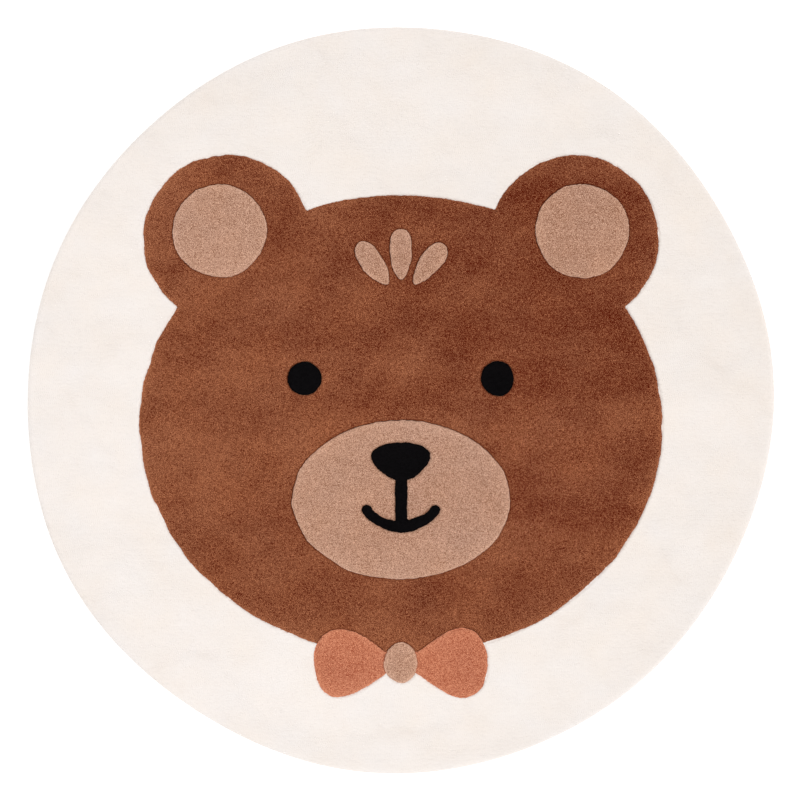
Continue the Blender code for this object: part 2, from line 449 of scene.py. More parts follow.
def mouth(head):
    """A smile, the arc that hangs below its centre, and the upright line that joins it to the nose."""
    half = head.line_width / 2
    foot = head.lip_centre[1] - head.lip_radius + head.line_width / 4

    def inside(x, y):
        across, down = x - head.lip_centre[0], head.lip_centre[1] - y
        turn = np.clip(np.arctan2(across, down), -head.lip_half_angle, head.lip_half_angle)
        off_smile = np.hypot(
            across - head.lip_radius * np.sin(turn), down - head.lip_radius * np.cos(turn)
        )
        off_cleft = np.hypot(x, y - np.clip(y, foot, head.cleft_top))
        return half - np.minimum(off_smile, off_cleft)

    return inside


def hair_leaf(head, angle):
    """One leaf of hair: an ellipse that is fuller towards its free end, at an angle from the root."""
    length = head.hair_size[0]
    whole = ellipse((0, 0), head.hair_size)

    def inside(x, y):
        right, up = x - head.hair_root[0], y - head.hair_root[1]
        along = right * math.cos(angle) + up * math.sin(angle) - head.hair_gap - length / 2
        across = up * math.cos(angle) - right * math.sin(angle)
        fullness = np.maximum(1 + head.hair_fullness * along / (length / 2), head.hair_fullness)
        return whole(along, across / fullness)

    return inside


def bow_wing(head, side):
    """One wing of the bow: an ellipse pinched where it meets the knot."""
    length = head.wing_size[0]
    whole = ellipse((0, 0), head.wing_size)

    def inside(x, y):
        out = (side * (x - head.bow_centre[0]) - head.wing_start) / length
        kept = np.maximum(head.wing_pinch + (1 - head.wing_pinch) * out, head.wing_pinch / 2)
        return whole((2 * out - 1) * length / 2, (y - head.bow_centre[1]) / kept)

    return inside


def colour_fields(head):
    """The fields of colour on the ground, the lowest first. Shapes in one field run into each other."""
    sides = {"left": -1, "right": 1}
    leaves = {"left": 1, "middle": 0, "right": -1}
    upright = math.pi / 2
    return [
        {
            "head": ellipse(head.head_centre, head.head_size),
            **{
                f"ear_{name}": disc(at_ear(head, side, head.ear_reach), head.ear_diameter)
                for name, side in sides.items()
            },
        },
        {
            f"inner_ear_{name}": disc(at_ear(head, side, head.inner_ear_reach), head.inner_ear_diameter)
            for name, side in sides.items()
        },
        {f"bow_wing_{name}": bow_wing(head, side) for name, side in sides.items()},
        {"bow_knot": ellipse(head.bow_centre, head.knot_size)},
        {"muzzle": ellipse(head.muzzle_centre, head.muzzle_size)},
        {"nose": nose(head), "mouth": mouth(head)},
        {
            f"eye_{name}": disc((side * head.eye_centre[0], head.eye_centre[1]), head.eye_diameter)
            for name, side in sides.items()
        },
        {
            f"hair_{name}": hair_leaf(head, upright + turn * head.hair_spread)
            for name, turn in leaves.items()
        },
    ]


def from_line(points, shapes, wobble):
    """How far inside the nearest shape's wobbled outline each point is, the way out, and which shape."""
    x, y = points[..., 0], points[..., 1]
    depths, ways = [], []
    for shape in shapes:
        slope_x = (shape(x + SLOPE_STEP, y) - shape(x - SLOPE_STEP, y)) / (2 * SLOPE_STEP)
        slope_y = (shape(x, y + SLOPE_STEP) - shape(x, y - SLOPE_STEP)) / (2 * SLOPE_STEP)
        steepness = np.hypot(slope_x, slope_y) + LEAST
        depths.append(shape(x, y) / steepness)
        ways.append(np.stack([-slope_x, -slope_y], -1) / steepness[..., None])
    nearest = np.argmax(depths, axis=0)
    depth = np.take_along_axis(np.array(depths), nearest[None], 0)[0]
    way_out = np.take_along_axis(np.array(ways), nearest[None, ..., None], 0)[0]
    return depth + wobble, way_out, nearest


# ------------------------------------------------------------------------------
# The pile: where every cut end stands, how high, and which yarn it is


def rim_radius(points):
    """The radius of the rug's outline in the direction of each point, from the side of the solid."""
    corners = np.array([corner.co for corner in SOLID.data.vertices])
    side = corners[(corners[:, 2] > SIDE_FROM) & (corners[:, 2] < SIDE_TO)]
    turns = np.arctan2(points[..., 1], points[..., 0])
    side_turns = np.arctan2(side[:, 1], side[:, 0])
    return np.interp(turns, side_turns, np.hypot(side[:, 0], side[:, 1]), period=2 * math.pi)


def solid_heights(points):
    """The height of the solid's top below each point."""
    solid = SOLID.data
    tree = BVHTree.FromPolygons(
        [corner.co for corner in solid.vertices], [face.vertices for face in solid.polygons]
    )
    down = Vector((0, 0, -1))
    heights = np.zeros(len(points))
    for number, (x, y) in enumerate(points.tolist()):
        hit = tree.ray_cast(Vector((x, y, CAST_HEIGHT)), down)[0]
        if hit is None:
            raise ValueError(f"the solid has no top below ({x:.4f}, {y:.4f})")
        heights[number] = hit.z
    return heights


def soft_field(patches, random):
    """A function that gives each point its place in an uneven field, about -1 to 1.

    The waves of the field cross at random. A patch is half a wave wide.
    """
    count = len(patches) * FIELD_WAVES
    turns, starts = random.uniform(0, 2 * math.pi, (2, count))
    across = np.repeat([patch["across"] for patch in patches], FIELD_WAVES)
    lengths = 2 * across * np.exp(random.uniform(-FIELD_SPREAD, FIELD_SPREAD, count))
    shares = np.repeat([patch["share"] for patch in patches], FIELD_WAVES) * WAVE_HEIGHT
    stretch = np.repeat([patch["stretch"] for patch in patches], FIELD_WAVES)
    ways = np.stack([np.cos(turns) / stretch, np.sin(turns)]) * 2 * math.pi / lengths

    def field(points):
        return np.clip(np.sin(points @ ways + starts) @ shares, -FIELD_LIMIT, FIELD_LIMIT)

    return field


def lay_ends(pile, random):
    """Where each cut end stands: in a grid of lines along X that wander, and scattered a little."""
    reach = max(CAD_HIGH.x, CAD_HIGH.y) + pile.row
    lines = LINES_A_ROW * 2 * math.ceil(reach / pile.row)
    columns = 2 * math.ceil(reach / pile.stitch)
    line, column = np.mgrid[0:lines, 0:columns]
    shift = np.where(line // LINES_A_ROW % 2 == 0, STITCH_SHIFT, -STITCH_SHIFT)
    along = (column - (columns - 1) / 2 + shift) * pile.stitch
    up = (line - (lines - 1) / 2) * pile.row / LINES_A_ROW
    ends = np.stack([along, up], -1)
    ends += random.uniform(-pile.scatter, pile.scatter, ends.shape)
    wander = [soft_field(ROW_PATCHES, random)(ends) for _ in range(2)]
    return ends + pile.row_wander * np.stack(wander, -1)


def sort_ends(ends, fields, hand):
    """Whose each end is: the number of its shape, from 0 for the ground, and of its field.

    Both are -1 off the rug.
    """
    wobble = LINE_WOBBLE * hand(ends)
    owner = np.zeros(ends.shape[:-1], int)
    level = np.zeros(ends.shape[:-1], int)
    first = 1
    for number, shapes in enumerate(fields, 1):
        depth, _, nearest = from_line(ends, shapes.values(), wobble)
        held = depth > 0
        owner[held] = first + nearest[held]
        level[held] = number
        first += len(shapes)
    off = rim_radius(ends) < np.hypot(ends[..., 0], ends[..., 1])
    owner[off] = level[off] = -1
    part_corners(owner, level)
    return owner, level


def part_corners(owner, level):
    """Gives a lone end that sticks out of its field, or meets it only at a corner, to one beside it."""
    middle = (slice(1, -1), slice(1, -1))
    for _ in range(PART_PASSES):
        found = False
        for near in BESIDE:
            alone = sum(owner[middle] == owner[place] for place in BESIDE) < 2
            alone &= owner[middle] != owner[near]
            found |= alone.any()
            for layer in (owner, level):
                layer[middle][alone] = layer[near][alone]
        for first in (0, 1):
            keeper, giver, across, other = (AROUND[(first + step) % 4] for step in range(4))
            alone = owner[keeper] == owner[across]
            alone &= (owner[giver] != owner[keeper]) & (owner[other] != owner[keeper])
            found |= alone.any()
            for layer in (owner, level):
                layer[giver][alone] = layer[keeper][alone]
        if not found:
            return
    raise ValueError("fields of pile still touch themselves at a corner")


def border_steps(level):
    """The steps from corner to corner that part one field from another, as pairs of corner numbers."""
    number = np.arange((level.shape[0] - 1) * (level.shape[1] - 1)).reshape(level.shape[0] - 1, -1)
    across = level[:-1, 1:-1] != level[1:, 1:-1]
    up = level[1:-1, :-1] != level[1:-1, 1:]
    begin = np.concatenate([number[:, :-1][across], number[:-1, :][up]])
    end = np.concatenate([number[:, 1:][across], number[1:, :][up]])
    return np.concatenate([begin, end]), np.concatenate([end, begin])


def lay_corners(ends, level, fields, hand, random):
    """Each corner between four ends, whether on the rim or a line, of which field, and its painted shade.

    A corner where colours differ is walked onto the line between them, or at the rim out to the rug's
    outline. Corners are spaced evenly along both, and the ends beside them, which move too, are centred
    again.
    """
    levels = np.array([level[place] for place in AROUND])
    lowest, highest = levels.min(axis=0), levels.max(axis=0)
    on_rim = (lowest < 0) & (highest >= 0)
    on_line = (lowest >= 0) & (lowest < highest)
    begin, end = border_steps(level)
    joins = np.bincount(begin, minlength=highest.size).reshape(highest.shape)
    beside = np.any([(on_rim | on_line)[place] for place in AROUND], axis=0)
    line_off = random.uniform(-LINE_WANDER, LINE_WANDER, highest.shape)
    rim_off = random.uniform(0, RIM_WANDER, highest.shape)
    line_shade = np.zeros(highest.shape)

    for step in range(SETTLE_STEPS):
        last = step == SETTLE_STEPS - 1
        fresh = np.mean([ends[place] for place in AROUND], axis=0)
        if step:
            total = np.zeros((highest.size, 2))
            np.add.at(total, begin, corners.reshape(-1, 2)[end])
            evened = total.reshape(corners.shape) / np.maximum(joins, 1)[..., None]
            fresh = np.where((joins == 2)[..., None], (evened + corners) / 2, fresh)
        corners = fresh
        for number, shapes in enumerate(fields, 1):
            picked = on_line & (highest == number)
            for walk in range(WALKS):
                wobble = LINE_WOBBLE * hand(corners[picked])
                depth, way_out, _ = from_line(corners[picked], shapes.values(), wobble)
                off = line_off[picked] if last and walk == WALKS - 1 else 0
                corners[picked] += (depth + off)[:, None] * way_out
            # Painted shade on the corners below a line, most where the nap leans out over it
            line_shade[picked] = LINE_CORNER_SHADE * overhang(way_out)
        rim = corners[on_rim]
        reach = rim_radius(rim) - (rim_off[on_rim] if last else 0)
        corners[on_rim] = rim * (reach / np.hypot(*rim.T))[:, None]
        inner = ends[1:-1, 1:-1]
        inner[beside] = np.mean([corners[place] for place in AROUND], axis=0)[beside]
    return corners, on_rim, on_line, highest, line_shade


def overhang(way_out):
    """How much of its painted shade a line has where its upper side faces this way."""
    return 1 + LEAN_SHARE * (way_out @ np.array(NAP_LEANS))


def beside_lines(ends, level, fields, hand):
    """How much painted shade each end takes below a line, and painted light above one and near the rim."""
    deep = np.zeros(len(ends))
    inset = rim_radius(ends) - np.hypot(*ends.T)
    openness = np.exp(-inset / OPEN_REACH) - RIM_BAND_SHADE * np.exp(-inset / RIM_BAND_REACH)
    wobble = LINE_WOBBLE * hand(ends)
    for number, shapes in enumerate(fields, 1):
        depth, way_out, _ = from_line(ends, shapes.values(), wobble)
        # Painted shade below a line, fading with the distance from it, most where the nap leans out over it
        below = LINE_PAINTED_SHADE * overhang(way_out) * np.exp(np.minimum(depth, 0) / LINE_PAINTED_SHADE_REACH)
        deep = np.where(level < number, np.maximum(deep, below), deep)
        openness = np.where(level == number, np.exp(-np.maximum(depth, 0) / OPEN_REACH), openness)
    return deep, openness


@functools.lru_cache(maxsize=1)
def lay_pile(pile_values, head_values):
    """The whole pile: tips, the corners where ends meet, which of them each tip has, and whose they are."""
    pile = types.SimpleNamespace(**dict(pile_values))
    random = np.random.default_rng(pile.seed)
    fields = colour_fields(types.SimpleNamespace(**dict(head_values)))
    hand = soft_field(LINE_PATCHES, random)
    ends = lay_ends(pile, random)
    owner, level = sort_ends(ends, fields, hand)
    corners, *borders = lay_corners(ends, level, fields, hand, random)

    # Only the ends on the rug are kept, each with its four corners against the clock from the lower left one
    columns = level.shape[1]
    kept = level[1:-1, 1:-1] >= 0
    number = np.arange(corners[..., 0].size).reshape(corners.shape[:-1])
    cells = np.stack([number[place][kept] for place in AROUND], -1)
    in_left = np.broadcast_to(np.arange(1, columns - 1) < columns / 2, kept.shape)[kept]
    ends, owner, level = (layer[1:-1, 1:-1][kept] for layer in (ends, owner, level))
    corners, on_rim, on_line, line_level, line_shade = (
        layer.reshape(number.size, *layer.shape[2:]) for layer in (corners, *borders)
    )

    # Heights from the solid's top, less the parting between rows or between the lines of ends in a row
    used = np.unique(cells)
    between_rows = np.arange(number.size)[used] // number.shape[1] % LINES_A_ROW == 1
    parting = np.where(between_rows, pile.row_parting, pile.end_parting)
    read_at = corners[used] * np.where(on_rim[used], 1 - RIM_READ_INSET / CAD_HIGH.x, 1)[:, None]
    heights = np.zeros(len(corners))
    heights[used] = solid_heights(read_at) - parting
    nap = soft_field(NAP_PATCHES, random)(ends)
    lean = np.stack([nap, soft_field(NAP_PATCHES, random)(ends)], 1) * pile.lean / 2
    tip_heights = solid_heights(ends) + random.uniform(-pile.unevenness, pile.unevenness, len(ends))
    # Painted shade beside lines, and painted light on open sides and at the rim
    deep, openness = beside_lines(ends, level, fields, hand)

    names = np.array(["ground", *(name for shapes in fields for name in shapes)])[owner]
    halves = np.where(in_left, "_left", "_right")
    return types.SimpleNamespace(
        tips=np.column_stack([ends + lean, tip_heights]),
        corners=np.column_stack([corners, heights]),
        cells=cells,
        owner=np.where(np.isin(names, ["ground", "head"]), np.char.add(names, halves), names),
        level=level,
        on_rim=on_rim,
        on_line=on_line,
        line_level=line_level,
        line_shade=line_shade,
        tone=random.uniform(-1, 1, len(ends)),
        nap=nap,
        # Painted light, lighter towards the lower left
        sweep=ends @ np.array(LIGHT_SWEEP_RISE),
        deep=deep,
        openness=openness,
    )


# ------------------------------------------------------------------------------
# Meshes


def open_sides(cells):
    """The sides of cells that no other cell shares, as (from, to, cell)."""
    begin, end = cells.ravel(), np.roll(cells, -1, axis=1).ravel()
    count = cells.max() + 1
    alone = ~np.isin(begin * count + end, end * count + begin)
    owner = np.repeat(np.arange(len(cells)), cells.shape[1])
    return begin[alone], end[alone], owner[alone]


def loops_of(begin, end):
    """Directed sides joined head to tail into closed loops."""
    following = dict(zip(begin.tolist(), end.tolist()))
    if len(following) != len(begin):
        raise ValueError("a field of pile touches itself at a corner")
    loops = []
    while following:
        first, step = following.popitem()
        loop = [first]
        while step != first:
            loop.append(step)
            step = following.pop(step)
        loops.append(loop)
    return loops


def cross(a, b):
    """Twice the area between two ways: above 0 where the second lies against the clock from the first."""
    return a[..., 0] * b[..., 1] - a[..., 1] * b[..., 0]


def flat_fill(points, loops):
    """Triangles that fill the loops, holes left open, facing down."""
    outlines = [[Vector((*points[number][:2], 0)) for number in loop] for loop in loops]
    order = np.concatenate(loops)
    faces = order[np.array(tessellate_polygon(outlines))]
    a, b, c = (points[faces[:, i], :2] for i in range(3))
    return faces[:, ::-1] if cross(b - a, c - a).sum() > 0 else faces


def push_outward(corners, cells, tips):
    """The way from a piece's own ends out across each of its corners, and how far off those ends are."""
    total = np.zeros((len(corners), 2))
    for side in range(cells.shape[1]):
        np.add.at(total, cells[:, side], corners[cells[:, side], :2] - tips[:, :2])
    reach = np.hypot(*total.T)
    return total / (reach + LEAST)[:, None], reach / np.bincount(cells.ravel())


def held_inside(tips, quads):
    """Each tip, moved to the middle of its cell where it stands over or too near a side."""
    spokes = quads - tips[:, None]
    crowded = (cross(spokes, np.roll(spokes, -1, axis=1)) < 2 * LEAST_FACE).any(axis=1)
    sides = np.roll(quads, -1, axis=1) - quads
    hollow = cross(np.roll(sides, 1, axis=1), sides)
    corner = np.argmin(hollow, axis=1)
    each = np.arange(len(quads))
    diagonal = (quads[each, corner] + quads[each, (corner + 2) % 4]) / 2
    middle = np.where((hollow.min(axis=1) < 0)[:, None], diagonal, quads.mean(axis=1))
    return np.where(crowded[:, None], middle, tips)


def pile_mesh(name, pile, gap):
    """One closed body of pile: a dome for each cut end, the sides below its outline, and a flat foot."""
    mine = np.flatnonzero(pile.owner == name)
    if not len(mine):
        raise ValueError(f"no cut end falls in {name}")
    used, cells = np.unique(pile.cells[mine], return_inverse=True)
    cells = cells.reshape(-1, 4)
    tips, corners = pile.tips[mine], pile.corners[used].copy()
    outward, room = push_outward(corners, cells, tips)
    on_rim, on_line = pile.on_rim[used], pile.on_line[used]
    below = on_line & (pile.line_level[used] > pile.level[mine[0]])
    back = np.where(on_line, np.minimum(LINE_SETBACK + gap * below, SETBACK_SHARE * room), 0)
    corners[:, :2] -= outward * back[:, None]
    tips[:, :2] = held_inside(tips[:, :2], corners[cells][..., :2])

    begin, end, edge_cell = open_sides(cells)
    border = np.unique(begin)
    bend = corners[border].copy()
    bend[:, 2] = SIDE_BEND
    foot = corners[border].copy()
    foot[:, :2] *= 1 - (np.where(on_rim[border], SIDE_DRAW_IN, 0) / np.hypot(*foot[:, :2].T))[:, None]
    foot[:, 2] = PILE_FOOT
    points = np.concatenate([tips, corners, bend, foot])

    first_corner = len(tips)
    first_bend = first_corner + len(corners)
    first_foot = first_bend + len(border)
    around = cells + first_corner
    tip = np.arange(len(tips))
    tops = np.stack(
        [np.stack([tip, around[:, i], around[:, (i + 1) % 4]], 1) for i in range(4)], 1
    ).reshape(-1, 3)
    place = np.zeros(len(corners), int)
    place[border] = np.arange(len(border))
    rows = [
        (first_corner + begin, first_corner + end),
        (first_bend + place[begin], first_bend + place[end]),
        (first_foot + place[begin], first_foot + place[end]),
    ]
    sides = []
    for (u, v), (lower_u, lower_v) in zip(rows, rows[1:]):
        sides += [np.stack([v, u, lower_u], 1), np.stack([v, lower_u, lower_v], 1)]
    feet = flat_fill(points, loops_of(*rows[-1]))
    faces = np.concatenate([tops, *sides, feet])

    mesh = bpy.data.meshes.new(name)
    mesh.from_pydata(points.tolist(), [], faces.tolist())
    mesh.shade_smooth()
    end_of_face = np.concatenate([np.repeat(np.arange(len(tips)), 4), *[edge_cell] * len(sides)])
    blank = np.zeros(len(feet))
    for look in LOOKS:
        put(mesh, look, "FACE", np.concatenate([getattr(pile, look)[mine][end_of_face], blank]))
    # Painted shade: full down between the ends, none on a line the field lies above, less at the rim
    at_corners = np.where(on_line, 0.0, 1.0)
    at_corners[below] = pile.line_shade[used][below]
    at_corners[on_rim] = RIM_CORNER_SHADE
    at_sides = np.where(on_rim[border], SIDE_SHADE, 1.0)
    put(mesh, "pile_depth", "POINT", np.concatenate([pile.deep[mine], at_corners, at_sides, at_sides]))
    mark_sharp(mesh, first_corner)
    spots = corners[:, :2]
    spread = outward[border] * SIDE_SPREAD
    side_spots = [spots[border] + spread, spots[border] + 2 * spread]
    lay_map(mesh, np.concatenate([tips[:, :2], spots, *side_spots]), len(feet))
    return mesh


def put(mesh, name, domain, values):
    """Stores a number for each face or point of a mesh, for its material to read."""
    layer = mesh.attributes.new(name, "FLOAT", domain)
    layer.data.foreach_set("value", values.astype(np.float32))


def mark_sharp(mesh, first_corner):
    """Each end is a smooth dome with a crease all round it, and the sides and foot are creased too."""
    ends = np.zeros(len(mesh.edges) * 2, np.int32)
    mesh.edges.foreach_get("vertices", ends)
    sharp = (ends.reshape(-1, 2) >= first_corner).all(axis=1)
    layer = mesh.attributes.new("sharp_edge", "BOOLEAN", "EDGE")
    layer.data.foreach_set("value", sharp)


def lay_map(mesh, spots, foot_faces):
    """Lays the bake map: the top and sides seen from above, and the foot squeezed into a strip."""
    low = spots.min(axis=0) - MAP_MARGIN
    size = spots.max(axis=0) + MAP_MARGIN - low
    top = (spots - low) / size * [TOP_SHARE, 1]
    strip = (spots - low) / size * [FOOT_STRIP[1] - FOOT_STRIP[0], 1] + [FOOT_STRIP[0], 0]
    corner = np.zeros(len(mesh.loops), np.int32)
    mesh.loops.foreach_get("vertex_index", corner)
    places = top[corner]
    if foot_faces:
        places[-3 * foot_faces :] = strip[corner[-3 * foot_faces :]]
    mesh.uv_layers.new(name=BAKE_MAP).data.foreach_set("uv", places.astype(np.float32).ravel())


def add_object(context, name, data):
    """A new object in the scene, with this mesh, lamp or camera as its data."""
    made = bpy.data.objects.new(name, data)
    context.scene.collection.objects.link(made)
    return made


def dress(context, name, mesh, material):
    """Puts a finished mesh in the scene as a piece that stands for the rug's solid."""
    mesh.materials.append(material)
    piece = add_object(context, name, mesh)
    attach(piece, "root")
    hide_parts("rug")


def tuft(context, yarn, *names):
    """Makes the named pieces of pile in one yarn."""
    pile = lay_pile(plain_values(context.scene.rug_pile), plain_values(context.scene.rug_head))
    material = sheared_wool(yarn, context.scene.rug_colours)
    for name in names:
        dress(context, name, pile_mesh(name, pile, LINE_GAP.get(yarn, 0)), material)


# ------------------------------------------------------------------------------
# Materials


def feed(tree, node, inputs):
    """Feeds a node's inputs, each with a value or with another node's output."""
    for name, value in inputs.items():
        if isinstance(value, bpy.types.NodeSocket):
            tree.links.new(value, node.inputs[name])
        else:
            node.inputs[name].default_value = value


def add_node(tree, kind, output, inputs=None, **settings):
    """Adds a node with its settings, feeds its inputs, and gives back the named one of its outputs."""
    node = tree.nodes.new(kind)
    for name, value in settings.items():
        setattr(node, name, value)
    feed(tree, node, inputs or {})
    return node.outputs[output]


def blank_material(name):
    """A new material with nothing but a shader, its tree and that shader."""
    material = bpy.data.materials.new(name)
    material.use_nodes = True
    return material, material.node_tree, material.node_tree.nodes["Principled BSDF"]


# Wool fibres are far finer than a pixel, so the clumps they stand in are drawn instead: about a millimetre
# wide, rather less across the rows, and several millimetres down the pile
FIBRE_CLUMP = (0.0010, 0.0007, 0.0060)
FIBRE_RELIEF = 0.00035
CLUMP_NOISE = {"Scale": 1.0, "Detail": 1.0, "Roughness": 0.6}

# Yarn from different dye batches differs faintly: the size of a batch's patch, the spread of tints from the
# warmest to the palest, and how broken up the patches are
BATCH_PATCH = 0.085
BATCH_WARM = (1.03, 0.97, 0.89, 1.0)
BATCH_PALE = (0.97, 1.03, 1.11, 1.0)
BATCH_NOISE = {"Scale": 1 / BATCH_PATCH, "Detail": 3.0, "Roughness": 0.55}

# Wool is matt all over, and its loose fibre gives a faint bloom at low angles
WOOL_ROUGHNESS = {"To Min": 0.86, "To Max": 0.99}
WOOL_BLOOM = {"Sheen Weight": 0.12, "Sheen Roughness": 0.5}


def sheared_wool(yarn, colours):
    """Soft wool yarn, tufted, cut and sheared level.

    The cut ends face the eye, so the cloth is quite matt and its colour deep, with painted shade darkening
    the gaps between the ends, no gloss, and a faint bloom at low angles from loose fibre.
    """
    name = f"sheared_wool_{yarn}"
    if name in bpy.data.materials:
        return bpy.data.materials[name]
    material, tree, shader = blank_material(name)
    facts = YARNS[yarn]
    deep = (*getattr(colours, f"{yarn}_deep"), 1.0)
    light = (*getattr(colours, f"{yarn}_light"), 1.0)
    place = add_node(tree, "ShaderNodeTexCoord", "Object")
    scale = [1 / size for size in FIBRE_CLUMP]
    clump_place = add_node(tree, "ShaderNodeMapping", "Vector", {"Vector": place, "Scale": scale})
    clumps = add_node(tree, "ShaderNodeTexNoise", "Fac", {"Vector": clump_place, **CLUMP_NOISE})
    batch = add_node(tree, "ShaderNodeTexNoise", "Fac", {"Vector": place, **BATCH_NOISE})
    depth = add_node(tree, "ShaderNodeAttribute", "Fac", attribute_name="pile_depth")

    # Tone: 0 is the deep colour and 1 the light one. The clumps swing it about its base, then each look
    # does: the end's own draw, and the painted light and shade of the nap, the sweep and the open sides
    lowest = facts["base"] - facts["fibre"] / 2
    swing = {0: clumps, 1: facts["fibre"], 2: lowest}
    tone = add_node(tree, "ShaderNodeMath", "Value", swing, operation="MULTIPLY_ADD")
    for look in LOOKS:
        source = add_node(tree, "ShaderNodeAttribute", "Fac", attribute_name=look)
        swing = {0: source, 1: facts[look], 2: tone}
        tone = add_node(tree, "ShaderNodeMath", "Value", swing, operation="MULTIPLY_ADD")
    # Painted shade: the yarn is tinted darker down between the ends, beside lines and at the rim
    shading = {0: depth, 1: facts["shade"]}
    shade = add_node(tree, "ShaderNodeMath", "Value", shading, operation="MULTIPLY")
    mix = {"data_type": "RGBA"}
    multiply = {**mix, "blend_type": "MULTIPLY"}
    yarn_tone = add_node(tree, "ShaderNodeMix", "Result", {"Factor": tone, "A": deep, "B": light}, **mix)
    painted_shading = {"Factor": shade, "A": yarn_tone, "B": PAINTED_SHADE_TINT}
    shaded = add_node(tree, "ShaderNodeMix", "Result", painted_shading, **multiply)
    tints = {"Factor": batch, "A": BATCH_WARM, "B": BATCH_PALE}
    cast = add_node(tree, "ShaderNodeMix", "Result", tints, **mix)
    dyeing = {"Factor": facts["cast"], "A": shaded, "B": cast}
    dyed = add_node(tree, "ShaderNodeMix", "Result", dyeing, **multiply)
    relief = {"Height": clumps, "Distance": FIBRE_RELIEF, "Strength": facts["relief"]}
    finish = {
        "Base Color": dyed,
        "Roughness": add_node(tree, "ShaderNodeMapRange", "Result", {"Value": clumps, **WOOL_ROUGHNESS}),
        "Normal": add_node(tree, "ShaderNodeBump", "Normal", relief),
        "Specular IOR Level": facts["gloss"],
        "Sheen Tint": light,
        **WOOL_BLOOM,
    }
    feed(tree, shader, finish)
    return material


# Canvas threads lie about 1.2 mm apart, too fine to show, so the weave is drawn at about four times that.
# The threads waver and swell in slubs several threads long, and shade is painted on them where they dip
THREAD_PITCH = 0.0048
THREAD_RELIEF = {"Distance": 0.0004, "Strength": 0.8}
THREAD_WAVER = {"Distortion": 0.4, "Detail": 1.0}
THREAD_DIP_SHADE = 0.72
SLUB_LENGTH = 6 * THREAD_PITCH
SLUB_SHARE = 0.6
SLUB_DETAIL = 4.0
CANVAS_ROUGHNESS = {"To Min": 0.80, "To Max": 0.95}
CANVAS_GLOSS = 0.2

# Blender's wave texture repeats every 2 pi / 20 of a unit at scale 1
WAVE_REPEAT = math.pi / 10


def woven_canvas(colours):
    """Unbleached cotton canvas, plain woven: matt and dry, with a fine even check of threads."""
    material, tree, shader = blank_material("woven_cotton_canvas")
    raised = (*colours.canvas, 1.0)
    # Painted shade where the threads dip
    dip_shaded = (*(THREAD_DIP_SHADE * part for part in colours.canvas), 1.0)
    place = add_node(tree, "ShaderNodeTexCoord", "Object")
    slub_facts = {"Vector": place, "Scale": 1 / SLUB_LENGTH, "Detail": SLUB_DETAIL}
    slub = add_node(tree, "ShaderNodeTexNoise", "Fac", slub_facts)
    thread_facts = {"Vector": place, "Scale": WAVE_REPEAT / THREAD_PITCH, **THREAD_WAVER}
    bands = {"wave_type": "BANDS"}
    warp, weft = (
        add_node(tree, "ShaderNodeTexWave", "Fac", thread_facts, bands_direction=direction, **bands)
        for direction in ("X", "Y")
    )
    weave = add_node(tree, "ShaderNodeMath", "Value", {0: warp, 1: weft}, operation="MULTIPLY")
    slubbed = {0: slub, 1: SLUB_SHARE, 2: weave}
    tone = add_node(tree, "ShaderNodeMath", "Value", slubbed, operation="MULTIPLY_ADD")
    cloth = {"Factor": tone, "A": dip_shaded, "B": raised}
    finish = {
        "Base Color": add_node(tree, "ShaderNodeMix", "Result", cloth, data_type="RGBA"),
        "Roughness": add_node(tree, "ShaderNodeMapRange", "Result", {"Value": slub, **CANVAS_ROUGHNESS}),
        "Normal": add_node(tree, "ShaderNodeBump", "Normal", {"Height": weave, **THREAD_RELIEF}),
        "Specular IOR Level": CANVAS_GLOSS,
    }
    feed(tree, shader, finish)
    return material


# The sheet's colour, its matt skin, and how brightly it glows
OPAL_HEX = "#FBFBFB"
OPAL_SKIN = {"Roughness": 0.9, "Specular IOR Level": 0.1}
OPAL_GLOW = 0.18


def lit_opal_sheet():
    """A matt sheet of opal acrylic, lit faintly from below: an even pale ground that hardly takes shadow."""
    material, tree, shader = blank_material("lit_opal_acrylic")
    glow = {"Emission Color": WHITE, "Emission Strength": OPAL_GLOW}
    feed(tree, shader, {"Base Color": (*linear(OPAL_HEX), 1.0), **OPAL_SKIN, **glow})
    return material


# ------------------------------------------------------------------------------
# Operators


